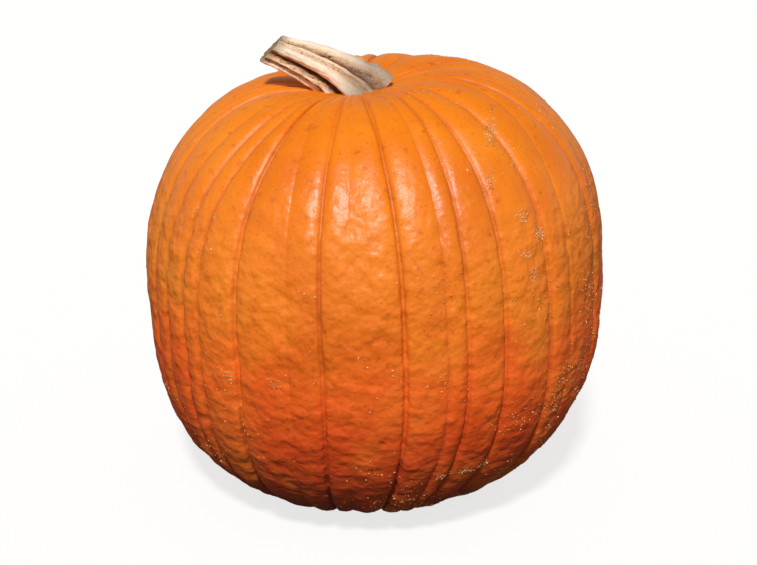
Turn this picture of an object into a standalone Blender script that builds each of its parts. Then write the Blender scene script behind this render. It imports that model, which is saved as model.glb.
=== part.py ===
"""A carving pumpkin with its dried stem, resting on the flat spot at its blossom end.

The fruit is a squarish ball sunk at both ends, a little lopsided, with creases that run from the
stem to the blossom end.  The stem is a fluted stalk that flares where it grips the fruit and lies
over to -X.  +Z is up, -Y is the front, and the origin is under the middle of the whole pumpkin.
"""

import math

import bmesh
import bpy
from mathutils import Vector

# The fruit, in metres
FRUIT_RADIUS = 0.150
CROWN_HEIGHT = 0.144  # from the widest level up to the undimpled top
BELLY_DEPTH = 0.147  # from the widest level down to the unflattened bottom
CROWN_SQUARENESS = 2.44  # exponent of the profile's upper quarter, 2 being an ellipse
BELLY_SQUARENESS = 2.68
STEM_DIMPLE = (0.018, 0.052)  # depth, radius
BLOSSOM_DIMPLE = (0.0085, 0.020)
REST_CUT = 0.0045  # how much of the bottom the flat spot takes away

# How the fruit grew lopsided, as shares of its radius or slopes
LEAN = -0.030  # sideways shift per height
BEND = -0.020
HUB_SHIFT = -0.034  # the stem stands this far off the middle
SHOULDER_RISE = 0.066  # the +X side rides higher
SHOULDER_RISE_WITH_HEIGHT = 0.023

# Creases: azimuth at the widest level, drift towards the stem, drift towards the blossom end, in
# degrees anticlockwise from the front as seen from above, and depth as a share of CREASE_DEPTH
CREASES = (
    (-34, 8, -7, 1.0),
    (-12, 2, -5, 0.9),
    (7, -3, -8, 1.0),
    (17, 0, -11, 0.4),
    (22, 2, -12, 0.8),
    (32, -1, -10, 1.0),
    (46, -1, -1, 1.0),
    (70, 2, 2, 0.9),
    (80, 1, 3, 0.6),
    (97, 4, 0, 0.8),
    (115, 0, -3, 1.0),
    (134, -4, 0, 0.9),
    (151, 2, 4, 0.8),
    (170, 3, -2, 1.0),
    (189, -2, -3, 0.9),
    (207, 0, 4, 0.8),
    (226, 4, 0, 1.0),
    (244, -3, -4, 0.9),
    (260, 2, 3, 0.8),
    (272, 3, 2, 0.9),
    (283, -2, 2, 0.6),
    (292, -6, 0, 0.8),
    (308, 12, 3, 0.9),
    (314, 16, 0, 0.6),
)
CREASE_DEPTH = 0.0044
LOBE_ROUNDING = 0.0014  # how far a lobe falls away from its crown before the crease begins
CREASE_FADE = 0.030  # creases die out within this radius of either end

# The stem, in metres.  Its path is measured from the bottom of the dimple
STEM_PATH = (
    (0.008, -0.003, -0.005),
    (-0.010, -0.003, 0.012),
    (-0.032, -0.003, 0.019),
    (-0.056, -0.003, 0.025),
)
STEM_RADIUS = 0.0190
STEM_TIP_RADIUS = 0.0090
STEM_FLARE = 0.0025  # added radius at the seat
STEM_FLARE_LENGTH = 0.25  # share of the stem over which the flare dies out
STEM_TWIST = math.radians(35)
STEM_RIDGES = 8
RIDGE_HEIGHT = 0.16  # share of the radius
TOE_HEIGHT = 0.10  # more of the same, at the seat
SEAT_GAP = 0.0003

# Mesh fineness
LOBE_COLUMNS = (0.0, 0.13, 0.37, 0.63, 0.87)  # where a lobe's columns stand between two creases
FRUIT_ROWS = 30
STEM_SIDES = 48
STEM_RINGS = 18


def clear_scene():
    for obj in list(bpy.data.objects):
        bpy.data.objects.remove(obj, do_unlink=True)


def collection(name):
    made = bpy.data.collections.new(name)
    bpy.context.scene.collection.children.link(made)
    return made


def linear(hex_colour):
    """sRGB hex to the linear RGBA that a shader takes."""
    parts = [int(hex_colour[i : i + 2], 16) / 255 for i in (1, 3, 5)]
    return [c / 12.92 if c <= 0.04045 else ((c + 0.055) / 1.055) ** 2.4 for c in parts] + [1.0]


def surface(name, hex_colour, roughness):
    made = bpy.data.materials.new(name)
    made.use_nodes = True
    shader = made.node_tree.nodes["Principled BSDF"]
    shader.inputs["Base Color"].default_value = linear(hex_colour)
    shader.inputs["Roughness"].default_value = roughness
    shader.inputs["Metallic"].default_value = 0.0
    return made


def smooth_step(value):
    value = min(1.0, max(0.0, value))
    return value * value * (3 - 2 * value)


def profile(polar):
    """Radius and height of the round skin at a polar angle, 0 at the stem and pi at the blossom."""
    upper = math.cos(polar) > 0
    power = 2 / (CROWN_SQUARENESS if upper else BELLY_SQUARENESS)
    reach = CROWN_HEIGHT if upper else -BELLY_DEPTH
    radius = FRUIT_RADIUS * max(math.sin(polar), 0.0) ** power
    height = reach * abs(math.cos(polar)) ** power
    depth, width = STEM_DIMPLE if upper else BLOSSOM_DIMPLE
    height -= math.copysign(depth, reach) * math.exp(-((radius / width) ** 2))
    return radius, height


def skin_normal(polar):
    """Outward direction of the profile, as its radial and upward parts."""
    step = 0.01
    before = profile(max(polar - step, 0.0))
    after = profile(min(polar + step, math.pi))
    radial, upward = before[1] - after[1], after[0] - before[0]
    size = math.hypot(radial, upward) or 1.0
    return radial / size, upward / size


def crease_azimuth(index, polar):
    """Where a crease runs at this polar angle, in radians."""
    turns, index = divmod(index, len(CREASES))
    middle, to_stem, to_blossom, _ = CREASES[index]
    level = math.cos(polar)
    drift = to_stem * level**3 if level > 0 else to_blossom * level**2
    return math.radians(middle + drift + 360 * turns)


def lobe_offset(lobe, share, radius):
    """How far the skin lies inside the round profile, from a lobe's crease (0) to the next (1)."""
    if share == 0.0:
        offset = -CREASE_DEPTH * CREASES[lobe][3]
    else:
        offset = -LOBE_ROUNDING * (1 - math.sin(math.pi * share))
    return offset * smooth_step(radius / CREASE_FADE)


def grown(x, y, z):
    """The lopsided place of a point of the round fruit."""
    size = FRUIT_RADIUS
    near_hub = math.exp(-(x * x + y * y) / (0.6 * size) ** 2) if z > 0 else 0.0
    x += LEAN * z + BEND * z * z / size + HUB_SHIFT * size * near_hub
    z += (SHOULDER_RISE + SHOULDER_RISE_WITH_HEIGHT * z / size) * x
    return Vector((x, y, z))


def skin_point(polar, column):
    radius, height = profile(polar)
    radial, upward = skin_normal(polar)
    lobe, place = divmod(column, len(LOBE_COLUMNS))
    share = LOBE_COLUMNS[place]
    start, end = crease_azimuth(lobe, polar), crease_azimuth(lobe + 1, polar)
    azimuth = start + (end - start) * share
    offset = lobe_offset(lobe, share, radius)
    radius += offset * radial
    height += offset * upward
    return grown(radius * math.sin(azimuth), -radius * math.cos(azimuth), height)


def make_fruit(home, skin):
    """The ribbed fruit, with its bottom ground flat at z = 0 and its middle over the origin."""
    columns = len(CREASES) * len(LOBE_COLUMNS)
    shape = bmesh.new()
    bmesh.ops.create_uvsphere(shape, u_segments=columns, v_segments=FRUIT_ROWS, radius=1.0)
    for vertex in shape.verts:
        polar = math.acos(max(-1.0, min(1.0, vertex.co.z)))
        turn = math.atan2(vertex.co.x, -vertex.co.y) % math.tau
        vertex.co = skin_point(polar, round(turn / math.tau * columns) % columns)
    low, high = box_of(shape)
    middle = (low + high) / 2
    move = Vector((-middle.x, -middle.y, -low.z - REST_CUT))
    for vertex in shape.verts:
        vertex.co += move
        vertex.co.z = max(vertex.co.z, 0.0)
    # The stem's cutter is a swollen copy: with triangles the two bend along the same diagonals
    bmesh.ops.triangulate(shape, faces=shape.faces, quad_method="FIXED")
    bmesh.ops.recalc_face_normals(shape, faces=shape.faces)
    return finish("fruit", shape, home, skin), move


def box_of(shape):
    low = Vector(min(v.co[axis] for v in shape.verts) for axis in range(3))
    high = Vector(max(v.co[axis] for v in shape.verts) for axis in range(3))
    return low, high


def finish(name, shape, home, skin):
    mesh = bpy.data.meshes.new(name)
    shape.to_mesh(mesh)
    shape.free()
    mesh.materials.append(skin)
    mesh.shade_smooth()
    mesh.set_sharp_from_angle(angle=math.radians(50))
    made = bpy.data.objects.new(name, mesh)
    home.objects.link(made)
    return made


def stem_path(share):
    """Centre and direction of the stem, 0 at the seat and 1 at the cut end."""
    a, b, c, d = (Vector(point) for point in STEM_PATH)
    rest = 1 - share
    centre = a * rest**3 + b * 3 * rest**2 * share + c * 3 * rest * share**2 + d * share**3
    along = (b - a) * rest**2 + (c - b) * 2 * rest * share + (d - c) * share**2
    return centre, along.normalized()


def stem_point(share, turn):
    centre, along = stem_path(share)
    across = Vector((0, 1, 0)).cross(along).normalized()
    sideways = along.cross(across)
    flare = math.exp(-((share / STEM_FLARE_LENGTH) ** 2))
    ridge = math.cos(STEM_RIDGES * (turn + STEM_TWIST * share))
    radius = STEM_RADIUS + (STEM_TIP_RADIUS - STEM_RADIUS) * share + STEM_FLARE * flare
    radius *= 1 + ridge * (RIDGE_HEIGHT + TOE_HEIGHT * flare) / 2
    return centre + (across * math.cos(turn) + sideways * math.sin(turn)) * radius


def make_stem(home, skin, seat):
    """The fluted stalk from a cylinder with rings, before its seat is cut to the fruit."""
    shape = bmesh.new()
    bmesh.ops.create_cone(
        shape, cap_ends=True, segments=STEM_SIDES, radius1=1.0, radius2=1.0, depth=1.0
    )
    upright = [e for e in shape.edges if abs(e.verts[0].co.z - e.verts[1].co.z) > 0.5]
    bmesh.ops.subdivide_edges(shape, edges=upright, cuts=STEM_RINGS - 1)
    for vertex in shape.verts:
        turn = math.atan2(vertex.co.y, vertex.co.x)
        vertex.co = seat + stem_point(vertex.co.z + 0.5, turn)
    bmesh.ops.recalc_face_normals(shape, faces=shape.faces)
    return finish("stem", shape, home, skin)


def seat_on(stem, fruit, helpers):
    """Cuts the stem's foot to the fruit's skin, leaving SEAT_GAP between them."""
    cutter = bpy.data.objects.new("fruit_with_gap", fruit.data.copy())
    helpers.objects.link(cutter)
    cutter.hide_render = True
    cutter.display_type = "WIRE"
    grow = cutter.modifiers.new("gap", "DISPLACE")
    grow.mid_level = 0.0
    grow.strength = SEAT_GAP
    cut = stem.modifiers.new("seat", "BOOLEAN")
    cut.operation = "DIFFERENCE"
    cut.object = cutter
    cut.use_self = True  # the swollen copy may touch itself along a crease


def main():
    clear_scene()
    home = collection("pumpkin")
    helpers = collection("cutters")
    rind = surface("orange_rind", "#DB7022", 0.42)
    bark = surface("dried_stem", "#C9A67C", 0.85)
    fruit, move = make_fruit(home, rind)
    hub_height = profile(0.0)[1]
    seat = grown(0.0, 0.0, hub_height) + move
    stem = make_stem(home, bark, seat)
    seat_on(stem, fruit, helpers)


main()
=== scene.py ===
# %% [markdown]
# # A carving pumpkin
#
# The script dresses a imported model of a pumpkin: a ribbed orange fruit and its dried stem.
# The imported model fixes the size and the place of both. Here each gets its fine surface and its
# material, and then come a floor, lights and a camera.
# Sizes are in metres, +Z is up, -Y is the front.

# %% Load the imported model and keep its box
import math

import bmesh
import bpy
import numpy as np
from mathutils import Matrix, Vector


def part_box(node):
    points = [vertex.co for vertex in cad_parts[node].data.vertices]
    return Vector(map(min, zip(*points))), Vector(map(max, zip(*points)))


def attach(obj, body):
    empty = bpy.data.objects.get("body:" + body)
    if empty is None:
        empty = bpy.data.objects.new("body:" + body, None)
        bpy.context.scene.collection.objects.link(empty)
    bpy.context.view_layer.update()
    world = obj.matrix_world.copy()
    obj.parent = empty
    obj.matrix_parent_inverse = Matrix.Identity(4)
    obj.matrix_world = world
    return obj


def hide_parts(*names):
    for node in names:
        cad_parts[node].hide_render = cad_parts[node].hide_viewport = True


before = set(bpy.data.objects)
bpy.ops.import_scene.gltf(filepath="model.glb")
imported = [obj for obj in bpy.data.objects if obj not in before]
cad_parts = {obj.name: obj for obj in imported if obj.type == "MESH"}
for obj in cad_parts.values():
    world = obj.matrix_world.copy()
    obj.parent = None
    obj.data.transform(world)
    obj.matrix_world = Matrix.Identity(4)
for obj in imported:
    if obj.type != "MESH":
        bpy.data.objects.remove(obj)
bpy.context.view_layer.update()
FRUIT_LOW, FRUIT_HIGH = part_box("fruit")
STEM_LOW, STEM_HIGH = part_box("stem")
print("packed nodes", len(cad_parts))
print("fruit", FRUIT_LOW, FRUIT_HIGH)
print("stem", STEM_LOW, STEM_HIGH)

# %% [markdown]
# ## Helpers
#
# Node trees, for shapes and for materials alike, are long lists of nodes and links. One helper
# adds a node with its settings and plugs in what feeds it, so a tree reads like a recipe.

# %% Node, colour and mesh helpers
MM = 0.001


def linear(hex_colour):
    """sRGB hex to the linear RGBA that a shader takes."""
    parts = [int(hex_colour[i : i + 2], 16) / 255 for i in (1, 3, 5)]
    return [c / 12.92 if c <= 0.04045 else ((c + 0.055) / 1.055) ** 2.4 for c in parts] + [1.0]


def add(tree, kind, inputs=None, stops=(), **settings):
    """Adds a node. Inputs maps a socket to a value, a socket, or a node that feeds it.

    A node feeds by its first output in use. Stops are the places and colours of a colour ramp.
    """
    made = tree.nodes.new(kind)
    for name, value in settings.items():
        setattr(made, name, value)
    for _ in stops[2:]:
        made.color_ramp.elements.new(0.5)
    for number, (place, colour) in enumerate(stops):
        made.color_ramp.elements[number].position = place
        made.color_ramp.elements[number].color = linear(colour)
    for key, value in (inputs or {}).items():
        if isinstance(value, bpy.types.Node):
            value = next(output for output in value.outputs if output.enabled)
        if isinstance(value, bpy.types.NodeSocket):
            tree.links.new(value, made.inputs[key])
        else:
            made.inputs[key].default_value = value
    return made


def smooth_step(value):
    value = np.clip(value, 0.0, 1.0)
    return value * value * (3 - 2 * value)


def mesh_object(name, vertices, faces):
    """A smooth mesh object at the origin, doubles merged and faces turned outwards."""
    mesh = bpy.data.meshes.new(name)
    mesh.from_pydata([tuple(v) for v in vertices], [], faces)
    shape = bmesh.new()
    shape.from_mesh(mesh)
    bmesh.ops.remove_doubles(shape, verts=shape.verts, dist=1e-6)
    bmesh.ops.recalc_face_normals(shape, faces=shape.faces)
    shape.to_mesh(mesh)
    shape.free()
    mesh.shade_smooth()
    made = bpy.data.objects.new(name, mesh)
    bpy.context.scene.collection.objects.link(made)
    return made


def tube_faces(rings, around):
    """Quads between rings of points, numbered ring by ring, and a closing fan at either end."""
    quads = []
    for ring in range(rings - 1):
        for step in range(around):
            a, b = ring * around + step, ring * around + (step + 1) % around
            quads.append((a, b, b + around, a + around))
    first, last = rings * around, rings * around + 1
    fans = [(first, (step + 1) % around, step) for step in range(around)]
    end = (rings - 1) * around
    fans += [(last, end + step, end + (step + 1) % around) for step in range(around)]
    return quads + fans


print("helpers ready, MM is", MM, "m")

# %% [markdown]
# ## The round of the fruit
#
# A pumpkin is a squarish ball, sunk where the stem joins and again at the blossom end.
# A turned profile would do for a perfect one, but a real fruit grows lopsided: one shoulder rides
# higher, the crown leans, and the stem isn't in the middle. So the profile is a formula (a
# superellipse, which an exponent makes rounder or squarer), and a second formula pushes
# every point to its lopsided place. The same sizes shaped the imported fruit, except that here the
# stem's seat is a little further forward.

# %% Sizes and the profile
RADIUS = (FRUIT_HIGH.x - FRUIT_LOW.x) / 2
CROWN_HEIGHT = 0.96 * RADIUS
BELLY_DEPTH = 0.98 * RADIUS
CROWN_SQUARENESS = 2.44
BELLY_SQUARENESS = 2.68
STEM_DIMPLE = (0.12 * RADIUS, 0.347 * RADIUS)  # depth, radius
BLOSSOM_DIMPLE = (0.057 * RADIUS, 0.133 * RADIUS)
# How the fruit grew lopsided, as slopes or as shares of its radius
LEAN = 0.030
BEND = 0.020
HUB_SHIFT = 0.034  # the stem stands this far to -X
HUB_FORWARD = 0.024
HUB_REACH = 0.6  # the shift dies out over this share of the radius
SHOULDER_RISE = 0.066
SHOULDER_RISE_WITH_HEIGHT = 0.023


def profile(polar):
    """Radius and height of the round skin at polar angles, 0 at the stem and pi at the blossom."""
    upper = np.cos(polar) > 0
    power = np.where(upper, 2 / CROWN_SQUARENESS, 2 / BELLY_SQUARENESS)
    side = np.where(upper, 1.0, -1.0)
    radius = RADIUS * np.maximum(np.sin(polar), 0.0) ** power
    height = side * np.where(upper, CROWN_HEIGHT, BELLY_DEPTH) * np.abs(np.cos(polar)) ** power
    depth = np.where(upper, STEM_DIMPLE[0], BLOSSOM_DIMPLE[0])
    width = np.where(upper, STEM_DIMPLE[1], BLOSSOM_DIMPLE[1])
    return radius, height - side * depth * np.exp(-((radius / width) ** 2))


def skin_normal(polar):
    """Outward direction of the profile, as its radial and upward parts."""
    step = 0.01
    before = profile(np.maximum(polar - step, 0.0))
    after = profile(np.minimum(polar + step, math.pi))
    radial, upward = before[1] - after[1], after[0] - before[0]
    size = np.hypot(radial, upward)
    return radial / size, upward / size


def grown(x, y, z):
    """The lopsided place of points of the round fruit: it leans, and its +X shoulder is high."""
    near_hub = np.where(z > 0, np.exp(-(x * x + y * y) / (HUB_REACH * RADIUS) ** 2), 0.0)
    x = x - LEAN * z - BEND * z * z / RADIUS - HUB_SHIFT * RADIUS * near_hub
    y = y - HUB_FORWARD * RADIUS * near_hub
    z = z + (SHOULDER_RISE + SHOULDER_RISE_WITH_HEIGHT * z / RADIUS) * x
    return np.stack([x, y, z], axis=-1)


print("profile radius", RADIUS, "widest", profile(np.array(math.pi / 2)))

# %% [markdown]
# ## Creases and lobes
#
# Creases run from the stem to the blossom end where the fruit's veins lie, and the lobes
# swell between them. They are never evenly spaced, and they wander. Each crease is one row below:
# where it crosses the widest level, how far it drifts towards either end, how sharply it is cut,
# and how far the lobes beside it dip. The mesh's columns follow the creases and crowd beside them,
# so that a narrow valley stays crisp without a mesh that is fine everywhere.

# %% The creases
# azimuth, drift to the stem, drift to the blossom end (degrees), sharpness, dip of the lobes (mm)
CREASES = (
    (-34, 8, -7, 1.00, 2.6),
    (-20, -1, -6, 0.10, 1.0),
    (-12, 2, -5, 0.75, 1.8),
    (-5, 1, -6, 0.08, 0.7),
    (7, -3, -8, 1.00, 2.2),
    (17, 0, -11, 0.35, 0.9),
    (22, 2, -12, 0.80, 1.3),
    (32, -1, -10, 1.00, 2.2),
    (46, -1, -1, 1.00, 2.4),
    (54, 13, 0, 0.30, 0.9),
    (70, 2, 2, 0.90, 2.0),
    (80, 1, 3, 0.60, 1.5),
    (97, 4, 0, 0.80, 2.0),
    (115, 0, -3, 1.00, 2.4),
    (124, -2, -1, 0.20, 0.9),
    (134, -4, 0, 0.90, 2.0),
    (151, 2, 4, 0.80, 2.1),
    (170, 3, -2, 1.00, 2.5),
    (180, 0, -2, 0.15, 0.9),
    (189, -2, -3, 0.90, 2.0),
    (207, 0, 4, 0.80, 2.1),
    (226, 4, 0, 1.00, 2.5),
    (244, -3, -4, 0.90, 2.0),
    (260, 2, 3, 0.80, 1.9),
    (272, 3, 2, 0.90, 1.7),
    (283, -2, 2, 0.60, 1.3),
    (292, -7, 0, 0.80, 1.6),
    (300, 9, 1, 0.60, 1.2),
    (308, 13, 3, 0.95, 2.4),
    (314, 16, 0, 0.65, 1.2),
)
# Hollows where the fruit lay against something: polar angle, azimuth (degrees), depth, reach (mm)
DENTS = ((131, -70, 5.0, 14), (155, -22, 4.0, 10), (80, 150, 2.5, 28), (112, 205, 2.0, 24))
ROWS = 226
COLUMN_SPACING = 2.25 * MM
CROWDING = 0.72  # how strongly a lobe's columns crowd towards its creases, from 0 to 1
LOBE_POWER = 0.75  # below 1 the crown of a lobe is flatter than a sine wave
LOW_GAIN = 0.8  # how much more the lobes dip low down
LOW_FROM, LOW_SPAN = 1.8, 0.6  # polar angle where that begins, and over how much it grows
LOBE_FADE = 0.3  # the lobes die out within this share of the radius from either end


def crease_azimuth(index, polar):
    """Azimuth of a crease at polar angles, in radians; an index past the last starts a new turn."""
    turns, index = divmod(index, len(CREASES))
    middle, to_stem, to_blossom = CREASES[index][:3]
    level = np.cos(polar)
    drift = np.where(level > 0, to_stem * level**3, to_blossom * level**2)
    return np.radians(middle + drift + 360 * turns)


def skin(polar, azimuth, inset):
    """Points of the fruit, inset from the round skin along its normal, and dented."""
    radius, height = profile(polar)
    radial, upward = skin_normal(polar)
    for dent_polar, dent_azimuth, depth, dent_reach in DENTS:
        turn = (azimuth - math.radians(dent_azimuth) + math.pi) % (2 * math.pi) - math.pi
        apart = np.hypot((polar - math.radians(dent_polar)) * RADIUS, turn * radius)
        inset = inset + depth * MM * np.exp(-((apart / (dent_reach * MM)) ** 2))
    radius = radius - inset * radial
    height = height - inset * upward
    return grown(radius * np.sin(azimuth), -radius * np.cos(azimuth), height)


def lobe_inset(lobe, share, polar):
    """How far a lobe dips beside its creases: more low down, and not at all at the two ends."""
    dips = CREASES[lobe][4], CREASES[(lobe + 1) % len(CREASES)][4]
    dip = dips[0] + (dips[1] - dips[0]) * share
    dip = dip * (1 + LOW_GAIN * smooth_step((polar - LOW_FROM) / LOW_SPAN))
    fade = smooth_step(profile(polar)[0] / (LOBE_FADE * RADIUS))
    return dip * MM * (1 - math.sin(math.pi * share) ** LOBE_POWER) * fade


print("creases", len(CREASES), "dents", len(DENTS))

# %% The grid
polar_rows = np.linspace(0, math.pi, ROWS + 2)[1:-1]
columns = []
for lobe, (middle, *_) in enumerate(CREASES):
    following = CREASES[(lobe + 1) % len(CREASES)][0] + (360 if lobe + 1 == len(CREASES) else 0)
    count = max(6, round(math.radians(following - middle) * RADIUS / COLUMN_SPACING))
    for step in range(count):
        share = step / count
        share -= CROWDING * math.sin(2 * math.pi * share) / (2 * math.pi)
        start, end = crease_azimuth(lobe, polar_rows), crease_azimuth(lobe + 1, polar_rows)
        azimuth = start + (end - start) * share
        columns.append(skin(polar_rows, azimuth, lobe_inset(lobe, share, polar_rows)))
points = np.stack(columns, axis=1)
poles = [skin(np.array(p), np.array(0.0), 0.0) for p in (0.0, math.pi)]
ball_points = np.concatenate([points.reshape(-1, 3), poles])
rough_low, rough_high = ball_points.min(0), ball_points.max(0)
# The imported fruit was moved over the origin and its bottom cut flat; the same move goes here
REST_CUT = (rough_high[2] - rough_low[2]) - (FRUIT_HIGH.z - FRUIT_LOW.z)
MOVE = np.array([
    (FRUIT_LOW.x + FRUIT_HIGH.x - rough_low[0] - rough_high[0]) / 2,
    (FRUIT_LOW.y + FRUIT_HIGH.y - rough_low[1] - rough_high[1]) / 2,
    FRUIT_HIGH.z - rough_high[2],
])
ball = mesh_object("ball", ball_points + MOVE, tube_faces(ROWS, len(columns)))
print("ball", len(columns), "columns", len(ball.data.polygons), "faces, cut", REST_CUT, "move", MOVE)

# %% [markdown]
# ## Guides for the creases
#
# The narrow valley along each crease is cut by Geometry Nodes, which measure how far a point of
# the skin is from the nearest crease. For that each crease is laid out once as a line of edges.
# Its points carry two numbers: how deep the valley is there, and how wide. Towards the stem the
# valleys are wide and soft, lower down they are narrow and sharp, and they die out at both ends.

# %% Crease guides
GUIDE_STEPS = 160
GUIDE_ENDS = (0.10, math.pi - 0.12)  # polar angles
END_FROM, END_SPAN = 0.12, 0.35  # shares of the radius over which the valleys begin
LOW_PART_FROM, LOW_PART_SPAN = 0.7, 1.1  # polar angles over which they turn narrow and sharp
TOP_DEPTH = 0.40  # how deep a valley is near the stem, as a share of its depth lower down
TOP_WIDENING = 0.35  # how much wider it is there
guide_polar = np.linspace(*GUIDE_ENDS, GUIDE_STEPS)
guide_radius = profile(guide_polar)[0]
end_fade = smooth_step((guide_radius / RADIUS - END_FROM) / END_SPAN)
lowness = smooth_step((guide_polar - LOW_PART_FROM) / LOW_PART_SPAN)
guide_points, guide_edges, guide_depth, guide_width = [], [], [], []
for index, (*_, sharpness, _) in enumerate(CREASES):
    first = len(guide_points)
    inset = lobe_inset(index, 0.0, guide_polar)
    line = skin(guide_polar, crease_azimuth(index, guide_polar), inset) + MOVE
    guide_points.extend(line)
    guide_edges += [(first + step, first + step + 1) for step in range(GUIDE_STEPS - 1)]
    guide_depth.extend(sharpness * end_fade * (TOP_DEPTH + (1 - TOP_DEPTH) * lowness))
    guide_width.extend(1 + TOP_WIDENING - TOP_WIDENING * lowness)
guide_mesh = bpy.data.meshes.new("crease_guides")
guide_mesh.from_pydata([tuple(p) for p in guide_points], guide_edges, [])
for label, numbers in (("depth", guide_depth), ("width", guide_width)):
    guide_mesh.attributes.new(label, "FLOAT", "POINT").data.foreach_set("value", numbers)
crease_guides = bpy.data.objects.new("crease_guides", guide_mesh)
bpy.context.scene.collection.objects.link(crease_guides)
print("crease guides", len(CREASES), "lines")

# %% [markdown]
# ## Materials: waxy rind
#
# A ripe pumpkin's rind is a thin waxy skin over orange flesh: satin, with a broad soft highlight
# that breaks up on its bumps. Its colour turns from yellow-orange near the stem to a redder orange
# lower down, and it is painted darker towards the bottom, down to dark brown: painted shade on the
# underside. The colour comes from height, from slow patches and streaks, and from the creases,
# which carry painted shade and, at the sides, a little green.

# %% Rind material, and its colour by height
rind = bpy.data.materials.new("waxy_pumpkin_rind")
rind.use_nodes = True
tree = rind.node_tree
shader = tree.nodes["Principled BSDF"]
shader.inputs["IOR"].default_value = 1.45
shader.inputs["Specular IOR Level"].default_value = 0.6
place = add(tree, "ShaderNodeTexCoord").outputs["Object"]
xyz = add(tree, "ShaderNodeSeparateXYZ", {0: place})
crease = add(tree, "ShaderNodeAttribute", attribute_name="crease").outputs["Fac"]

# Height decides the main colour, and a slow mottling of 30 mm frays its bands.
# The dark brown stops low down are painted shade on the underside.
mottle = add(tree, "ShaderNodeTexNoise", {"Vector": place, "Scale": 30.0, "Detail": 4.0})
uneven = add(
    tree, "ShaderNodeMath", {0: mottle, 1: 0.05, 2: xyz.outputs["Z"]}, operation="MULTIPLY_ADD"
)
level = add(tree, "ShaderNodeMapRange", {0: uneven, 1: 0.0, 2: FRUIT_HIGH.z + 0.025})
hue_and_painted_shade_by_height = add(
    tree,
    "ShaderNodeValToRGB",
    {0: level},
    stops=(
        (0.00, "#3A180B"),
        (0.10, "#68270F"),
        (0.20, "#B84317"),
        (0.34, "#E5521A"),
        (0.48, "#FA691E"),
        (0.62, "#FD8420"),
        (0.95, "#F08000"),
    ),
)

print("rind colour by height", len(tree.nodes), "nodes")

# %% Rind patches, streaks and freckles
# Slow patches of a paler and a redder orange, 40 to 80 mm across
patches = add(tree, "ShaderNodeTexNoise", {"Vector": place, "Scale": 15.0, "Detail": 3.0})
pale_share = add(tree, "ShaderNodeMapRange", {0: patches, 1: 0.50, 2: 0.70, 3: 0.0, 4: 0.25})
red_share = add(tree, "ShaderNodeMapRange", {0: patches, 1: 0.50, 2: 0.32, 3: 0.0, 4: 0.30})
pale = add(
    tree,
    "ShaderNodeMix",
    {0: pale_share, 6: hue_and_painted_shade_by_height, 7: linear("#FF9C2C")},
    data_type="RGBA",
)
red = add(
    tree, "ShaderNodeMix", {0: red_share, 6: pale, 7: linear("#C84A10")}, data_type="RGBA"
)

# Yellow streaks along the lobes, 15 mm wide and four times as long
upright = add(
    tree, "ShaderNodeVectorMath", {0: place, 1: (1.0, 1.0, 0.25)}, operation="MULTIPLY"
)
streaks = add(tree, "ShaderNodeTexNoise", {"Vector": upright, "Scale": 70.0, "Detail": 3.0})
streak_share = add(tree, "ShaderNodeMapRange", {0: streaks, 1: 0.52, 2: 0.72, 3: 0.0, 4: 0.16})
streaked = add(
    tree, "ShaderNodeMix", {0: streak_share, 6: red, 7: linear("#FFA01E")}, data_type="RGBA"
)

# Fine freckles of 1 to 2 mm, and bruises of 7 mm
freckle = add(tree, "ShaderNodeTexNoise", {"Vector": place, "Scale": 620.0, "Detail": 2.0})
freckle_share = add(tree, "ShaderNodeMapRange", {0: freckle, 1: 0.60, 2: 0.74, 3: 0.0, 4: 0.40})
freckled = add(
    tree, "ShaderNodeMix", {0: freckle_share, 6: streaked, 7: linear("#B5430F")}, data_type="RGBA"
)
bruise = add(tree, "ShaderNodeTexNoise", {"Vector": place, "Scale": 150.0, "Detail": 3.0})
bruise_share = add(tree, "ShaderNodeMapRange", {0: bruise, 1: 0.62, 2: 0.76, 3: 0.0, 4: 0.45})
bruised = add(
    tree, "ShaderNodeMix", {0: bruise_share, 6: freckled, 7: linear("#A63E12")}, data_type="RGBA"
)

print("rind patches and freckles", len(tree.nodes), "nodes")

# %% Rind colour in the creases
# The creases are painted darker and redder, which is painted shade in the valleys,
# and green lingers beside them at the sides
crease_shade_share = add(tree, "ShaderNodeMapRange", {0: crease, 1: 0.08, 2: 0.75, 3: 0.0, 4: 0.85})
painted_crease_shade = add(
    tree, "ShaderNodeMix", {0: crease_shade_share, 6: bruised, 7: linear("#80290A")}, data_type="RGBA"
)
side = add(tree, "ShaderNodeMath", {0: xyz.outputs["X"]}, operation="ABSOLUTE")
side_share = add(tree, "ShaderNodeMapRange", {0: side, 1: 0.10, 2: 0.14})
green_patch = add(tree, "ShaderNodeMapRange", {0: mottle, 1: 0.44, 2: 0.60, 3: 0.0, 4: 0.5})
by_crease = add(tree, "ShaderNodeMapRange", {0: crease, 1: 0.0, 2: 0.25, 3: 0.25, 4: 1.0})
green_patch = add(
    tree, "ShaderNodeMath", {0: green_patch, 1: by_crease}, operation="MULTIPLY"
)
green_share = add(
    tree, "ShaderNodeMath", {0: side_share, 1: green_patch}, operation="MULTIPLY"
)
green = add(
    tree, "ShaderNodeMix", {0: green_share, 6: painted_crease_shade, 7: linear("#A0751E")}, data_type="RGBA"
)
tree.links.new(green.outputs[2], shader.inputs["Base Color"])

print("rind colour", len(tree.nodes), "nodes")

# %% Rind gloss and relief
# Satin, duller where it is soiled and in the creases
satin = add(tree, "ShaderNodeMapRange", {0: patches, 1: 0.35, 2: 0.65, 3: 0.36, 4: 0.46})
soil = add(tree, "ShaderNodeMapRange", {0: xyz.outputs["Z"], 1: 0.10, 2: 0.02, 3: 0.0, 4: 0.25})
dull = add(tree, "ShaderNodeMath", {0: satin, 1: soil}, operation="ADD")
dull = add(tree, "ShaderNodeMath", {0: crease, 1: 0.4, 2: dull}, operation="MULTIPLY_ADD")
tree.links.new(dull.outputs[0], shader.inputs["Roughness"])

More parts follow.
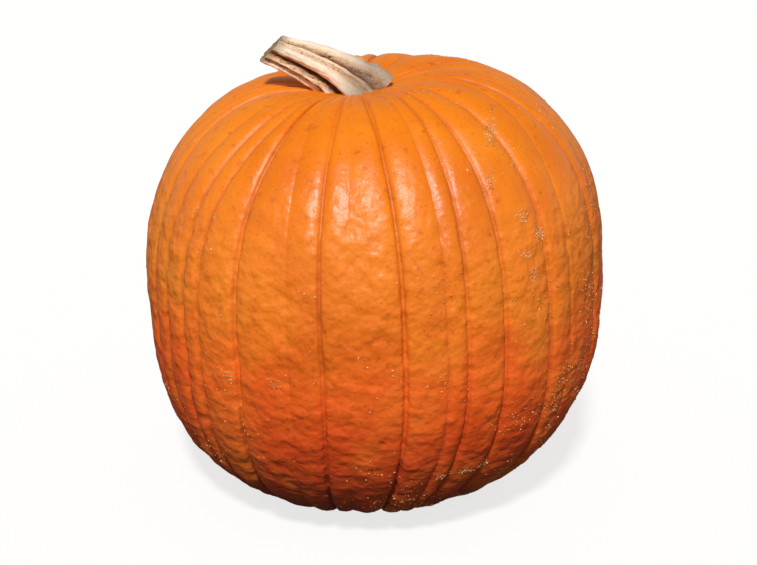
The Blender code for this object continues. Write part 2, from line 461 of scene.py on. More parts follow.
# Hammered dimples of 9 mm below the shoulders, wrinkles of 9 by 5 mm low down, and an orange
# peel of 3 mm all over
dimples = add(tree, "ShaderNodeTexNoise", {"Vector": place, "Scale": 115.0, "Detail": 1.5})
dimple_zone = add(
    tree,
    "ShaderNodeMapRange",
    {0: xyz.outputs["Z"], 1: 0.26, 2: 0.20, 3: 0.15, 4: 1.2},
    interpolation_type="SMOOTHSTEP",
)
lying = add(tree, "ShaderNodeVectorMath", {0: place, 1: (1.0, 1.0, 1.8)}, operation="MULTIPLY")
wrinkle = add(tree, "ShaderNodeTexNoise", {"Vector": lying, "Scale": 110.0, "Detail": 1.5})
wrinkle_zone = add(
    tree,
    "ShaderNodeMapRange",
    {0: xyz.outputs["Z"], 1: 0.16, 2: 0.08, 3: 0.0, 4: 0.5},
    interpolation_type="SMOOTHSTEP",
)
peel = add(tree, "ShaderNodeTexNoise", {"Vector": place, "Scale": 330.0, "Detail": 3.0})
relief = add(tree, "ShaderNodeMath", {0: dimples, 1: dimple_zone}, operation="MULTIPLY")
relief = add(
    tree, "ShaderNodeMath", {0: wrinkle, 1: wrinkle_zone, 2: relief}, operation="MULTIPLY_ADD"
)
relief = add(tree, "ShaderNodeMath", {0: peel, 1: 0.20, 2: relief}, operation="MULTIPLY_ADD")
bump = add(tree, "ShaderNodeBump", {"Strength": 0.8, "Distance": 2.2 * MM, "Height": relief})
tree.links.new(bump.outputs[0], shader.inputs["Normal"])
print("rind material", len(tree.nodes), "nodes")

# %% [markdown]
# ## Growing the creases and bumps
#
# The valleys, the slow waves, the hammered bumps below the shoulders and the wrinkles low down all
# follow a rule over the whole skin, which is what Geometry Nodes do well. The tree measures each
# point's distance to the nearest crease and reads that crease's depth and width there. A curve
# turns the distance into a valley. Noise adds the rest, and each point moves along its normal.

# %% Helpers for geometry trees
def new_tree(name, sockets):
    """A geometry tree with named inputs; returns it, its input node and its output node."""
    made = bpy.data.node_groups.new(name, "GeometryNodeTree")
    made.interface.new_socket("Geometry", in_out="OUTPUT", socket_type="NodeSocketGeometry")
    for label, kind in sockets:
        made.interface.new_socket(label, in_out="INPUT", socket_type="NodeSocket" + kind)
    return made, made.nodes.new("NodeGroupInput"), made.nodes.new("NodeGroupOutput")


def grow(obj, tree, values, name):
    """Runs the tree on obj with the values by input name and returns the plain mesh object."""
    modifier = obj.modifiers.new(tree.name, "NODES")
    modifier.node_group = tree
    for item in tree.interface.items_tree:
        if item.in_out == "INPUT" and item.name in values:
            modifier[item.identifier] = values[item.name]
    deps = bpy.context.evaluated_depsgraph_get()
    mesh = bpy.data.meshes.new_from_object(
        obj.evaluated_get(deps), preserve_all_data_layers=True, depsgraph=deps
    )
    mesh.name = name
    obj.modifiers.remove(modifier)
    made = bpy.data.objects.new(name, mesh)
    bpy.context.scene.collection.objects.link(made)
    print(name, len(mesh.polygons), "faces")
    return made


def wave(tree, position, cycles, seed, amplitude):
    """Noise with some cycles per metre along each axis, as a height around zero."""
    scaled = add(tree, "ShaderNodeVectorMath", {0: position, 1: cycles}, operation="MULTIPLY")
    inputs = {"Vector": scaled, "W": seed, "Scale": 1.0, "Detail": 2.0}
    noise = add(tree, "ShaderNodeTexNoise", inputs, noise_dimensions="4D")
    centred = add(tree, "ShaderNodeMath", {0: noise, 1: 0.5}, operation="SUBTRACT")
    return add(tree, "ShaderNodeMath", {0: centred, 1: amplitude}, operation="MULTIPLY")


print("tree helpers ready:", new_tree.__name__, grow.__name__, wave.__name__)

# %% Skin tree: valleys
tree, given, result = new_tree(
    "pumpkin_skin",
    [
        ("Geometry", "Geometry"),
        ("Creases", "Object"),
        ("Crease depth", "Float"),
        ("Crease width", "Float"),
        ("Wave height", "Float"),
        ("Bump height", "Float"),
        ("Wrinkle height", "Float"),
        ("Rest level", "Float"),
        ("Seed", "Float"),
        ("Material", "Material"),
    ],
)
guides = add(tree, "GeometryNodeObjectInfo", {0: given.outputs["Creases"]}).outputs["Geometry"]
nearest = add(tree, "GeometryNodeProximity", {0: guides}, target_element="EDGES")
index = add(tree, "GeometryNodeSampleNearest", {0: guides}, domain="POINT")
width_there = add(tree, "GeometryNodeInputNamedAttribute", {0: "width"}, data_type="FLOAT")
width = add(tree, "GeometryNodeSampleIndex", {0: guides, 1: width_there, 2: index})
depth_there = add(tree, "GeometryNodeInputNamedAttribute", {0: "depth"}, data_type="FLOAT")
depth = add(tree, "GeometryNodeSampleIndex", {0: guides, 1: depth_there, 2: index})

# The curve covers three crease widths, from the valley's bottom to level ground
width = add(
    tree, "ShaderNodeMath", {0: width, 1: given.outputs["Crease width"]}, operation="MULTIPLY"
)
reach = add(tree, "ShaderNodeMath", {0: width, 1: 3.0}, operation="MULTIPLY")
share = add(
    tree, "ShaderNodeMath", {0: nearest.outputs["Distance"], 1: reach}, operation="DIVIDE"
)
valley = add(tree, "ShaderNodeFloatCurve", {1: share})
curve = valley.mapping.curves[0]
curve.points[0].location = (0.0, 1.0)
curve.points[-1].location = (1.0, 0.0)
for x, y in ((0.12, 0.66), (0.28, 0.24), (0.50, 0.06)):
    curve.points.new(x, y)
valley.mapping.update()
cut = add(tree, "ShaderNodeMath", {0: valley, 1: depth}, operation="MULTIPLY")
inward = add(
    tree, "ShaderNodeMath", {0: cut, 1: given.outputs["Crease depth"]}, operation="MULTIPLY"
)

print("skin tree, valleys", len(tree.nodes), "nodes")

# %% Skin tree: waves, bumps and wrinkles
# Slow waves of 45 mm everywhere, bumps of 12 mm below the shoulders, wrinkles of 14 by 7 mm low down
position = add(tree, "GeometryNodeInputPosition")
height = add(tree, "ShaderNodeSeparateXYZ", {0: position}).outputs["Z"]
seed = given.outputs["Seed"]
waves = wave(tree, position, (22.0, 22.0, 16.0), seed, given.outputs["Wave height"])
bumps = wave(tree, position, (82.0, 82.0, 82.0), seed, given.outputs["Bump height"])
bump_zone = add(
    tree,
    "ShaderNodeMapRange",
    {0: height, 1: 0.26, 2: 0.18, 3: 0.12, 4: 1.0},
    interpolation_type="SMOOTHSTEP",
)
wrinkles = wave(tree, position, (70.0, 70.0, 145.0), seed, given.outputs["Wrinkle height"])
wrinkle_zone = add(
    tree, "ShaderNodeMapRange", {0: height, 1: 0.15, 2: 0.06}, interpolation_type="SMOOTHSTEP"
)
outward = add(
    tree, "ShaderNodeMath", {0: bumps, 1: bump_zone, 2: waves}, operation="MULTIPLY_ADD"
)
outward = add(
    tree, "ShaderNodeMath", {0: wrinkles, 1: wrinkle_zone, 2: outward}, operation="MULTIPLY_ADD"
)
outward = add(tree, "ShaderNodeMath", {0: outward, 1: inward}, operation="SUBTRACT")
normal = add(tree, "GeometryNodeInputNormal")
offset = add(tree, "ShaderNodeVectorMath", {0: normal, "Scale": outward}, operation="SCALE")
moved = add(tree, "GeometryNodeSetPosition", {0: given.outputs["Geometry"], "Offset": offset})

print("skin tree, waves and bumps", len(tree.nodes), "nodes")

# %% Skin tree: the flat spot and the result
# The flat spot: nothing reaches below the level the fruit rests on
spot = add(tree, "ShaderNodeSeparateXYZ", {0: add(tree, "GeometryNodeInputPosition")})
raised = add(
    tree,
    "ShaderNodeMath",
    {0: spot.outputs["Z"], 1: given.outputs["Rest level"], 2: 2 * MM},
    operation="SMOOTH_MAX",
)
lifted = add(tree, "ShaderNodeCombineXYZ", {0: spot.outputs["X"], 1: spot.outputs["Y"], 2: raised})
marked = add(tree, "GeometryNodeStoreNamedAttribute", {0: moved, "Name": "crease", "Value": cut})
flat = add(tree, "GeometryNodeSetPosition", {0: marked, "Position": lifted})
smooth = add(tree, "GeometryNodeSetShadeSmooth", {0: flat})
solid = add(tree, "GeometryNodeRealizeInstances", {0: smooth})
painted = add(tree, "GeometryNodeSetMaterial", {0: solid, "Material": given.outputs["Material"]})
tree.links.new(painted.outputs[0], result.inputs[0])
print("skin tree", len(tree.nodes), "nodes")

# %% Grow the skin
fruit = grow(
    ball,
    tree,
    {
        "Creases": crease_guides,
        "Crease depth": 2.5 * MM,
        "Crease width": 1.8 * MM,
        "Wave height": 3.6 * MM,
        "Bump height": 2.6 * MM,
        "Wrinkle height": 1.9 * MM,
        "Rest level": 0.0,
        "Seed": 4.0,
        "Material": rind,
    },
    "fruit_skin",
)
bpy.data.objects.remove(ball)
bpy.data.objects.remove(crease_guides)

# %% [markdown]
# ## The dried stem
#
# The stalk that fed the fruit dries to a hard, fluted club: thick where it grips the fruit, thinner
# towards the cut end, twisted a little, with rounded ridges and narrow grooves between them. It
# could be a curve with a bevel, but its grooves deepen and its toes spread towards the foot. So it is
# a loft: rings of points across a bent centre line, whose radius is a formula of the place along
# the stem and the angle around it. Each point keeps three attributes for the material: its place
# along the stem, how deep its groove is, and a direction for the fibres.

# %% Stem sizes
STEM_SEAT = Vector(poles[0] + MOVE)
# The centre line bends by these four points, measured from the seat
STEM_PATH = (
    (0.008, -0.004, -0.006),
    (-0.010, -0.004, 0.011),
    (-0.032, -0.004, 0.018),
    (-0.054, -0.004, 0.0265),
)
SEAT_RADIUS = 0.0200
CUT_RADIUS = 0.0096
STEM_RINGS = 150
STEM_SIDES = 200
STEM_TWIST = math.radians(34)
CUT_SLANT = 0.42  # how far the cut leans back at the top, per radius
SLANT_FROM, SLANT_SPAN = 0.70, 0.30  # where the rings begin to lean, and over how much of the stem
LIP_HEIGHT, LIP_LENGTH = 0.10, 0.06  # the cut end swells: share of the radius, share of the stem
# Angle across the stem (0 is up, -90 to the front), depth as a share of the radius, width in degrees
GROOVES = (
    (-143, 0.36, 9),
    (-110, 0.52, 14),
    (-60, 0.20, 9),
    (-32, 0.42, 12),
    (35, 0.36, 13),
    (84, 0.36, 14),
    (128, 0.40, 14),
    (172, 0.40, 14),
)
DEEPEST = max(depth for _, depth, _ in GROOVES)
GROOVE_LOSS = 0.35  # share of its depth that a groove has lost at the cut end
# Toes that spread over the fruit: angle, and reach as a share of the radius
TOES = ((-152, 0.95), (-121, 0.55), (-79, 0.50), (-5, 0.15), (62, 0.30), (108, 0.35), (152, 0.40))
TOE_WIDTH = 16  # degrees
# Toes hold their reach up to here, then die out over a length that is greater under the stem
TOE_FROM, TOE_LENGTH, TOE_LENGTH_BELOW = 0.09, 0.24, 0.22
# The cut end's shallow dish: rings as a share of the last ring, and how far each stands out
CUT_DISH = ((0.96, 0.0005), (0.86, 0.0002), (0.66, -0.0008), (0.40, -0.0018), (0.15, -0.0022))
print("stem grooves", len(GROOVES), "toes", len(TOES))


# %% Stem formulas
def stem_frame(share):
    """Centre and three directions of the stem, 0 at the seat and 1 at the cut end."""
    a, b, c, d = (Vector(point) for point in STEM_PATH)
    rest = 1 - share
    centre = a * rest**3 + b * 3 * rest**2 * share + c * 3 * rest * share**2 + d * share**3
    along = ((b - a) * rest**2 + (c - b) * 2 * rest * share + (d - c) * share**2).normalized()
    across = Vector((0, 1, 0)).cross(along).normalized()
    return STEM_SEAT + centre, along, across, along.cross(across)


def near(turn, degrees, width):
    """1 where an angle is at a direction across the stem, falling to 0 beyond the width."""
    apart = (np.degrees(turn) - degrees + 180) % 360 - 180
    return np.exp(-((apart / width) ** 2))


def groove_at(share, turn):
    """How deep the grooves are, as a share of the radius; they wind towards the cut end."""
    turn = turn - STEM_TWIST * (share - 0.5)
    depth = sum(depth * near(turn, angle, width) for angle, depth, width in GROOVES)
    return depth * (1 - GROOVE_LOSS * share**3)


def stem_radius(share, turn):
    radius = SEAT_RADIUS + (CUT_RADIUS - SEAT_RADIUS) * share
    length = TOE_LENGTH + TOE_LENGTH_BELOW * (1 - np.cos(turn)) / 2
    spread = 1 - smooth_step((share - TOE_FROM) / length)
    toes = sum(reach * near(turn + STEM_TWIST / 2, toe, TOE_WIDTH) for toe, reach in TOES)
    lip = math.exp(-(((1 - share) / LIP_LENGTH) ** 2))
    return radius * (1 + spread * toes + LIP_HEIGHT * lip) * (1 - groove_at(share, turn))


print("stem length", math.dist(stem_frame(0.0)[0], stem_frame(1.0)[0]), "m, end to end")

# %% Stem rings
turns = np.linspace(0, 2 * math.pi, STEM_SIDES, endpoint=False)
stem_rings, stem_marks = [], []
for ring in range(STEM_RINGS):
    share = ring / (STEM_RINGS - 1)
    centre, along, across, sideways = (np.array(v) for v in stem_frame(share))
    radii = stem_radius(share, turns)[:, None]
    spokes = np.cos(turns)[:, None] * across + np.sin(turns)[:, None] * sideways
    lean = CUT_SLANT * smooth_step((share - SLANT_FROM) / SLANT_SPAN)
    slant = lean * np.cos(turns)[:, None]
    stem_rings.append(centre + radii * (spokes - slant * along))
    stem_marks.append((share, groove_at(share, turns) / DEEPEST))
for scale, lift in CUT_DISH:
    stem_rings.append(centre + (stem_rings[STEM_RINGS - 1] - centre) * scale + along * lift)
    stem_marks.append((1.0 + (1 - scale), groove_at(1.0, turns)))
stem_ends = [np.array(stem_frame(0.0)[0]), centre + along * CUT_DISH[-1][1]]
stem_points = np.concatenate(stem_rings + [np.array(stem_ends)])
ridged = mesh_object("ridged", stem_points, tube_faces(len(stem_rings), STEM_SIDES))
print("stem rings", len(stem_rings))

# %% Stem attributes
groove_values, along_values, fibre_values = [], [], []
for share, grooves in stem_marks:
    groove_values.extend(grooves)
    along_values.extend([share] * STEM_SIDES)
    for turn in turns:
        fibre_values.extend((math.cos(turn), math.sin(turn), share))
groove_values += [0.0, 0.0]
along_values += [0.0, 2.0]
fibre_values += [0, 0, 0, 0, 0, 2]
for label, numbers in (("groove", groove_values), ("along", along_values)):
    ridged.data.attributes.new(label, "FLOAT", "POINT").data.foreach_set("value", numbers)
fibres = ridged.data.attributes.new("fibre", "FLOAT_VECTOR", "POINT")
fibres.data.foreach_set("vector", fibre_values)
print("stem", len(ridged.data.vertices), "points")

# %% [markdown]
# ## Materials: dried stalk
#
# The stalk is dead plant fibre, bleached cream on the ridges and brown in the grooves. The brown is
# partly the stalk's own colour and partly painted shade, darkest where a groove is deepest. Black
# specks of mould sit in the grooves; it is greyer where it grips the fruit, and browner at the cut
# end.
# Fibres run along it, so the noise is stretched by an attribute that holds the angle and the place
# along.

# %% Stalk material
stalk = bpy.data.materials.new("dried_pumpkin_stalk")
stalk.use_nodes = True
tree = stalk.node_tree
shader = tree.nodes["Principled BSDF"]
shader.inputs["Roughness"].default_value = 0.85
place = add(tree, "ShaderNodeTexCoord").outputs["Object"]
groove = add(tree, "ShaderNodeAttribute", attribute_name="groove").outputs["Fac"]
along = add(tree, "ShaderNodeAttribute", attribute_name="along").outputs["Fac"]
fibre = add(tree, "ShaderNodeAttribute", attribute_name="fibre").outputs["Vector"]
stretched = add(
    tree, "ShaderNodeVectorMath", {0: fibre, 1: (9.0, 9.0, 5.0)}, operation="MULTIPLY"
)
streak = add(tree, "ShaderNodeTexNoise", {"Vector": stretched, "Scale": 1.6, "Detail": 6.0})
grain = add(tree, "ShaderNodeTexNoise", {"Vector": place, "Scale": 620.0, "Detail": 4.0})

# Cream crests, brown grooves that are partly painted shade, and streaks that fray the border
# between them
depth = add(
    tree, "ShaderNodeMath", {0: groove, 1: 0.95, 2: -0.36}, operation="MULTIPLY_ADD"
)
ragged = add(
    tree, "ShaderNodeMath", {0: streak, 1: 0.60, 2: depth}, operation="MULTIPLY_ADD"
)
bark_and_groove_shade = add(
    tree,
    "ShaderNodeValToRGB",
    {0: ragged},
    stops=(
        (0.00, "#FBE9D2"),
        (0.20, "#EFD2B0"),
        (0.42, "#BC9068"),
        (0.62, "#84502F"),
        (0.90, "#432414"),
    ),
)
mould = add(tree, "ShaderNodeMapRange", {0: grain, 1: 0.56, 2: 0.64, 3: 0.0, 4: 0.85})
in_grooves = add(tree, "ShaderNodeMapRange", {0: groove, 1: 0.10, 2: 0.50, 3: 0.0, 4: 1.0})
mould_share = add(tree, "ShaderNodeMath", {0: mould, 1: in_grooves}, operation="MULTIPLY")
spotted = add(
    tree, "ShaderNodeMix", {0: mould_share, 6: bark_and_groove_shade, 7: linear("#24140C")}, data_type="RGBA"
)

print("stalk bark", len(tree.nodes), "nodes")

# %% Stalk foot, cut end and relief
# Grey and rough at the foot, browner at the cut end, and pith inside the cut
foot_share = add(tree, "ShaderNodeMapRange", {0: along, 1: 0.44, 2: 0.18, 3: 0.0, 4: 0.75})
foot = add(
    tree, "ShaderNodeMix", {0: foot_share, 6: spotted, 7: linear("#8F7A66")}, data_type="RGBA"
)
tip_share = add(tree, "ShaderNodeMapRange", {0: along, 1: 0.90, 2: 0.99, 3: 0.0, 4: 0.55})
tip = add(tree, "ShaderNodeMix", {0: tip_share, 6: foot, 7: linear("#7E5A3C")}, data_type="RGBA")
pith_share = add(tree, "ShaderNodeMapRange", {0: along, 1: 1.04, 2: 1.12, 3: 0.0, 4: 0.8})
pith = add(tree, "ShaderNodeMix", {0: pith_share, 6: tip, 7: linear("#8A6A45")}, data_type="RGBA")
tree.links.new(pith.outputs[2], shader.inputs["Base Color"])
rough_height = add(
    tree, "ShaderNodeMath", {0: grain, 1: 0.7, 2: streak}, operation="MULTIPLY_ADD"
)
bump = add(
    tree, "ShaderNodeBump", {"Strength": 0.9, "Distance": 1.2 * MM, "Height": rough_height}
)
tree.links.new(bump.outputs[0], shader.inputs["Normal"])
print("stalk material", len(tree.nodes), "nodes")

# %% [markdown]
# ## Shrunken fibres on the stem
#
# As the stalk dries its fibres shrink unevenly, which leaves fine cords along it and lumps where
# side veins left. The tree moves each point by noise stretched along the stem, and by lumps.

# %% Stem surface
tree, given, result = new_tree(
    "dried_fibres",
    [
        ("Geometry", "Geometry"),
        ("Fibre height", "Float"),
        ("Lump height", "Float"),
        ("Seed", "Float"),
        ("Material", "Material"),
    ],
)
fibre_at = add(tree, "GeometryNodeInputNamedAttribute", {0: "fibre"}, data_type="FLOAT_VECTOR")
position = add(tree, "GeometryNodeInputPosition")
seed = given.outputs["Seed"]
fine = wave(tree, fibre_at, (8.0, 8.0, 7.0), seed, given.outputs["Fibre height"])
lumps = wave(tree, position, (110.0, 110.0, 110.0), seed, given.outputs["Lump height"])
along_at = add(tree, "GeometryNodeInputNamedAttribute", {0: "along"}, data_type="FLOAT")
at_foot = add(tree, "ShaderNodeMapRange", {0: along_at, 1: 0.42, 2: 0.15, 3: 1.0, 4: 2.2})
lumps = add(tree, "ShaderNodeMath", {0: lumps, 1: at_foot}, operation="MULTIPLY")
outward = add(tree, "ShaderNodeMath", {0: fine, 1: lumps}, operation="ADD")
normal = add(tree, "GeometryNodeInputNormal")
offset = add(tree, "ShaderNodeVectorMath", {0: normal, "Scale": outward}, operation="SCALE")
moved = add(tree, "GeometryNodeSetPosition", {0: given.outputs["Geometry"], "Offset": offset})
solid = add(tree, "GeometryNodeRealizeInstances", {0: moved})
painted = add(tree, "GeometryNodeSetMaterial", {0: solid, "Material": given.outputs["Material"]})
tree.links.new(painted.outputs[0], result.inputs[0])
stem = grow(
    ridged,
    tree,
    {"Fibre height": 1.5 * MM, "Lump height": 2.4 * MM, "Seed": 2.0, "Material": stalk},
    "stem_skin",
)
bpy.data.objects.remove(ridged)

# %% [markdown]
# ## Corky specks and scabs
#
# Where the rind cracked while it grew or rubbed on the soil, it healed with small raised crumbs of
# pale cork. There are thousands, most on the right-hand side and low down, in drifts, and a few
# scabs where they crowd together. The scabs are listed one by one. A tree scatters points over the
# fruit, more where a slow noise is high and most at a scab, and puts a flattened pebble of twenty
# faces on each, knocked out of shape.

# %% Cork material
cork = bpy.data.materials.new("healed_cork")
cork.use_nodes = True
tree = cork.node_tree
shader = tree.nodes["Principled BSDF"]
shader.inputs["Roughness"].default_value = 0.75
place = add(tree, "ShaderNodeTexCoord").outputs["Object"]
shades = add(tree, "ShaderNodeTexNoise", {"Vector": place, "Scale": 160.0, "Detail": 2.0})
tan = add(
    tree,
    "ShaderNodeValToRGB",
    {0: shades},
    stops=((0.30, "#C4742E"), (0.52, "#DE9E5C"), (0.72, "#F4D09A")),
)
tree.links.new(tan.outputs[0], shader.inputs["Base Color"])
print("cork material", len(tree.nodes), "nodes")

# %% Scab spots
# polar angle, azimuth (degrees), reach along and up (mm)
SCABS = (
    (42, 44, 5, 9),
    (55, 34, 3, 7),
    (66, 40, 4, 5),
    (72, 44, 4, 5),
    (75, 39, 4, 4),
    (80, 40, 3, 6),
    (93, -23, 4, 3),
    (93, -36, 3, 3),
    (120, 17, 7, 2),
    (120, 23, 8, 2),
    (120, 29, 7, 3),
)
scab_points = [skin(np.radians(p), np.radians(a), 0.0) + MOVE for p, a, *_ in SCABS]
scab_mesh = bpy.data.meshes.new("scab_spots")
scab_mesh.from_pydata([tuple(p) for p in scab_points], [], [])
reach = [(along_skin * MM, up * MM, 0.0) for *_, along_skin, up in SCABS]
scab_mesh.attributes.new("reach", "FLOAT_VECTOR", "POINT").data.foreach_set(
    "vector", [number for row in reach for number in row]
)
scab_spots = bpy.data.objects.new("scab_spots", scab_mesh)
bpy.context.scene.collection.objects.link(scab_spots)
print("scab spots", len(SCABS))

# %% Speck tree: drifts
tree, given, result = new_tree(
    "corky_specks",
    [
        ("Geometry", "Geometry"),
        ("Scabs", "Object"),
        ("Density", "Float"),
        ("Scab density", "Float"),
        ("Smallest", "Float"),
        ("Largest", "Float"),
        ("Seed", "Int"),
        ("Material", "Material"),
    ],
)
position = add(tree, "GeometryNodeInputPosition")
xyz = add(tree, "ShaderNodeSeparateXYZ", {0: position})

# Drifts of 40 mm, thick on the right and low down
drift = add(tree, "ShaderNodeTexNoise", {"Vector": position, "Scale": 26.0, "Detail": 2.0})
drifts = add(tree, "ShaderNodeMapRange", {0: drift, 1: 0.50, 2: 0.66})
right = add(tree, "ShaderNodeMapRange", {0: xyz.outputs["X"], 1: -0.02, 2: 0.11, 3: 0.10, 4: 0.8})
low = add(tree, "ShaderNodeMapRange", {0: xyz.outputs["Z"], 1: 0.12, 2: 0.04, 3: 0.0, 4: 1.0})
zone = add(tree, "ShaderNodeMath", {0: right, 1: low}, operation="ADD")
sprinkled = add(tree, "ShaderNodeMath", {0: drifts, 1: zone}, operation="MULTIPLY")
scatter = add(
    tree, "ShaderNodeMath", {0: sprinkled, 1: given.outputs["Density"]}, operation="MULTIPLY"
)

print("speck tree, drifts", len(tree.nodes), "nodes")

# %% Speck tree: scabs
# Scabs: how far a point is from the nearest one, as a share of its reach
scabs = add(tree, "GeometryNodeObjectInfo", {0: given.outputs["Scabs"]}).outputs["Geometry"]
nearest = add(tree, "GeometryNodeProximity", {0: scabs}, target_element="POINTS")
index = add(tree, "GeometryNodeSampleNearest", {0: scabs}, domain="POINT")
reach_there = add(tree, "GeometryNodeInputNamedAttribute", {0: "reach"}, data_type="FLOAT_VECTOR")
reach = add(
    tree,
    "GeometryNodeSampleIndex",
    {0: scabs, 1: reach_there, 2: index},
    data_type="FLOAT_VECTOR",
)
reach = add(tree, "ShaderNodeSeparateXYZ", {0: reach})
away = add(
    tree,
    "ShaderNodeVectorMath",
    {0: position, 1: nearest.outputs["Position"]},
    operation="SUBTRACT",
)
away = add(tree, "ShaderNodeSeparateXYZ", {0: away})
up_share = add(
    tree, "ShaderNodeMath", {0: away.outputs["Z"], 1: reach.outputs["Y"]}, operation="DIVIDE"
)
side_share = add(
    tree, "ShaderNodeMath", {0: away.outputs["X"], 1: reach.outputs["X"]}, operation="DIVIDE"
)
shares = add(tree, "ShaderNodeCombineXYZ", {0: side_share, 1: up_share})
apart = add(tree, "ShaderNodeVectorMath", {0: shares}, operation="LENGTH").outputs["Value"]
frayed = add(tree, "ShaderNodeTexNoise", {"Vector": position, "Scale": 300.0, "Detail": 2.0})
apart = add(tree, "ShaderNodeMath", {0: frayed, 1: 1.6, 2: apart}, operation="MULTIPLY_ADD")
at_scab = add(tree, "ShaderNodeMapRange", {0: apart, 1: 1.6, 2: 1.2})
# A scab reaches only the side of the fruit that it is on, and no speck is near the floor
in_front = add(tree, "ShaderNodeMapRange", {0: nearest.outputs["Distance"], 1: 0.03, 2: 0.02})
at_scab = add(tree, "ShaderNodeMath", {0: at_scab, 1: in_front}, operation="MULTIPLY")
density = add(
    tree,
    "ShaderNodeMath",
    {0: at_scab, 1: given.outputs["Scab density"], 2: scatter},
    operation="MULTIPLY_ADD",
)
above = add(tree, "ShaderNodeMapRange", {0: xyz.outputs["Z"], 1: 0.004, 2: 0.010})
density = add(tree, "ShaderNodeMath", {0: density, 1: above}, operation="MULTIPLY")
print("speck tree, scabs", len(tree.nodes), "nodes")

# %% Speck tree: pebbles
scattered = add(
    tree,
    "GeometryNodeDistributePointsOnFaces",
    {"Mesh": given.outputs["Geometry"], "Density": density, "Seed": given.outputs["Seed"]},
    distribute_method="RANDOM",
)
pebble = add(tree, "GeometryNodeMeshIcoSphere", {"Radius": 1.0, "Subdivisions": 1})
size = add(
    tree,
    "FunctionNodeRandomValue",
    {2: given.outputs["Smallest"], 3: given.outputs["Largest"], "Seed": 3},
    data_type="FLOAT",
)
flattened = add(
    tree, "ShaderNodeVectorMath", {0: (1.0, 0.7, 0.4), "Scale": size}, operation="SCALE"
)
spin = add(
    tree,
    "FunctionNodeRandomValue",
    {0: (0.0, 0.0, 0.0), 1: (0.4, 0.4, math.tau), "Seed": 5},
    data_type="FLOAT_VECTOR",
)
turned = add(
    tree,
    "FunctionNodeRotateRotation",
    {0: scattered.outputs["Rotation"], 1: spin},
    rotation_space="LOCAL",
)
placed = add(
    tree,
    "GeometryNodeInstanceOnPoints",
    {"Points": scattered, "Instance": pebble, "Rotation": turned, "Scale": flattened},
)
solid = add(tree, "GeometryNodeRealizeInstances", {0: placed})
noise = add(
    tree, "ShaderNodeTexNoise", {"Vector": position, "Scale": 1500.0, "Detail": 0.0}
).outputs["Color"]
knock = add(tree, "ShaderNodeVectorMath", {0: noise, 1: (0.5, 0.5, 0.5)}, operation="SUBTRACT")
knock = add(tree, "ShaderNodeVectorMath", {0: knock, "Scale": 0.8 * MM}, operation="SCALE")
crumbs = add(tree, "GeometryNodeSetPosition", {0: solid, "Offset": knock})
smooth = add(tree, "GeometryNodeSetShadeSmooth", {0: crumbs})
painted = add(tree, "GeometryNodeSetMaterial", {0: smooth, "Material": given.outputs["Material"]})
tree.links.new(painted.outputs[0], result.inputs[0])
print("speck tree", len(tree.nodes), "nodes")

# %% Scatter the specks
specks = grow(
    fruit,
    tree,
    {
        "Scabs": scab_spots,
        "Density": 95000.0,
        "Scab density": 1400000.0,
        "Smallest": 0.25 * MM,
        "Largest": 0.95 * MM,
        "Seed": 7,
        "Material": cork,
    },
    "corky_specks",
)
bpy.data.objects.remove(scab_spots)

# %% [markdown]
# ## Bodies
#
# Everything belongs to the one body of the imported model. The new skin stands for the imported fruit,
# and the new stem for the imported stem.

# %% Ride and replace
for piece in (fruit, stem, specks):
    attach(piece, "root")
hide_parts("fruit")
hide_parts("stem")
print("bodies set for", fruit.name, stem.name, specks.name)

# %% [markdown]
# ## Floor
#
# The pumpkin stands on a light table: an opal sheet lit from below, so that the shadow on it
# stays faint. It throws no light back up at the fruit, whose underside stays dark, as it would
# with a black flag laid around it.

# %% Floor
floor_material = bpy.data.materials.new("opal_light_table")
floor_material.use_nodes = True
shader = floor_material.node_tree.nodes["Principled BSDF"]
shader.inputs["Base Color"].default_value = linear("#868686")
shader.inputs["Roughness"].default_value = 0.9
shader.inputs["Emission Color"].default_value = linear("#FFFFFF")
shader.inputs["Emission Strength"].default_value = 0.76
bpy.ops.mesh.primitive_plane_add(size=12.0, location=(0, 0, 0))
floor = bpy.context.object
floor.name = "floor"
floor.data.materials.append(floor_material)
floor.visible_diffuse = False
floor.visible_glossy = False
print("floor", floor.dimensions)

# %% [markdown]
# ## Light
#
# A lamp high in front gives the broad highlight, the dark underside and the stem's shadow. It is
# a sun with a disc of 7 degrees, so that it falls evenly over the floor and its shadows are a
# little soft. A pale, slightly warm room, brightest at eye level, fills the sides.

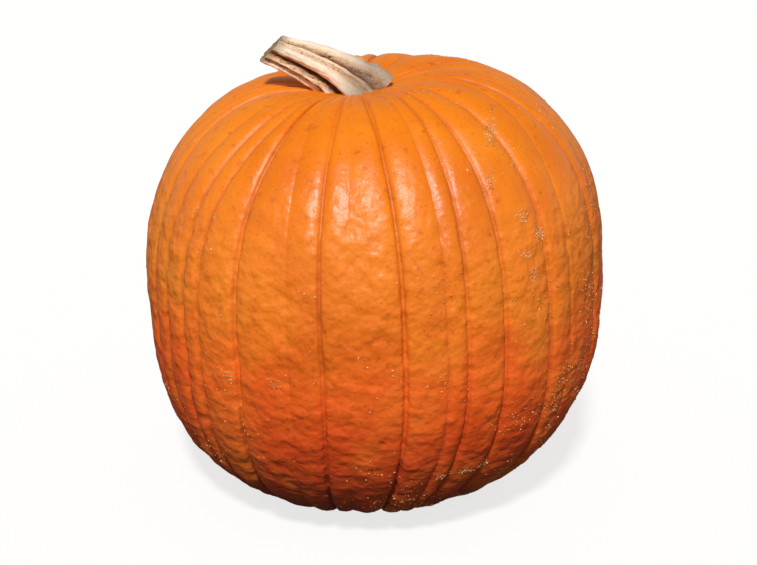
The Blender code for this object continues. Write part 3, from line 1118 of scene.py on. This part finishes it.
# %% Lights
KEY_AZIMUTH = math.radians(-5)
KEY_ELEVATION = math.radians(52)
world = bpy.data.worlds.new("pale_room")
bpy.context.scene.world = world
world.use_nodes = True
tree = world.node_tree
direction = add(tree, "ShaderNodeTexCoord").outputs["Generated"]
up = add(tree, "ShaderNodeSeparateXYZ", {0: direction}).outputs["Z"]
rise = add(tree, "ShaderNodeMapRange", {0: up, 1: -1.0, 2: 1.0})
room = add(
    tree,
    "ShaderNodeValToRGB",
    {0: rise},
    stops=(
        (0.00, "#343434"),
        (0.42, "#4E4E4E"),
        (0.54, "#E2D8C6"),
        (0.66, "#A89C8A"),
        (1.00, "#5E574E"),
    ),
)
seen = add(tree, "ShaderNodeLightPath").outputs["Is Camera Ray"]
light = add(
    tree, "ShaderNodeMix", {0: seen, 6: room, 7: linear("#FFFFFF")}, data_type="RGBA"
)
tree.links.new(light.outputs[2], tree.nodes["Background"].inputs["Color"])
key = bpy.data.objects.new("key", bpy.data.lights.new("key", "SUN"))
bpy.context.scene.collection.objects.link(key)
key.data.energy = 2.9
key.data.angle = math.radians(7)
level_part = math.cos(KEY_ELEVATION)
to_key = Vector((
    level_part * math.sin(KEY_AZIMUTH),
    -level_part * math.cos(KEY_AZIMUTH),
    math.sin(KEY_ELEVATION),
))
key.rotation_euler = to_key.to_track_quat("Z", "Y").to_euler()
print("key light from", to_key)

# %% [markdown]
# ## Camera
#
# The camera stands a metre off and looks down a little, as someone would who looks at a
# pumpkin on a table.

# %% Camera
CAMERA_DISTANCE = 1.05
CAMERA_ELEVATION = math.radians(21)
camera = bpy.data.objects.new("camera", bpy.data.cameras.new("camera"))
bpy.context.scene.collection.objects.link(camera)
camera.data.sensor_width = 36
camera.data.lens = 75
camera.data.shift_x = 0.0048
camera.data.shift_y = -0.0157
behind = Vector((0, -math.cos(CAMERA_ELEVATION), math.sin(CAMERA_ELEVATION)))
camera.location = Vector(MOVE) + behind * CAMERA_DISTANCE
camera.rotation_euler = (math.pi / 2 - CAMERA_ELEVATION, 0, 0)
bpy.context.scene.camera = camera
bpy.context.scene.view_settings.view_transform = "Standard"
print("camera at", camera.location)
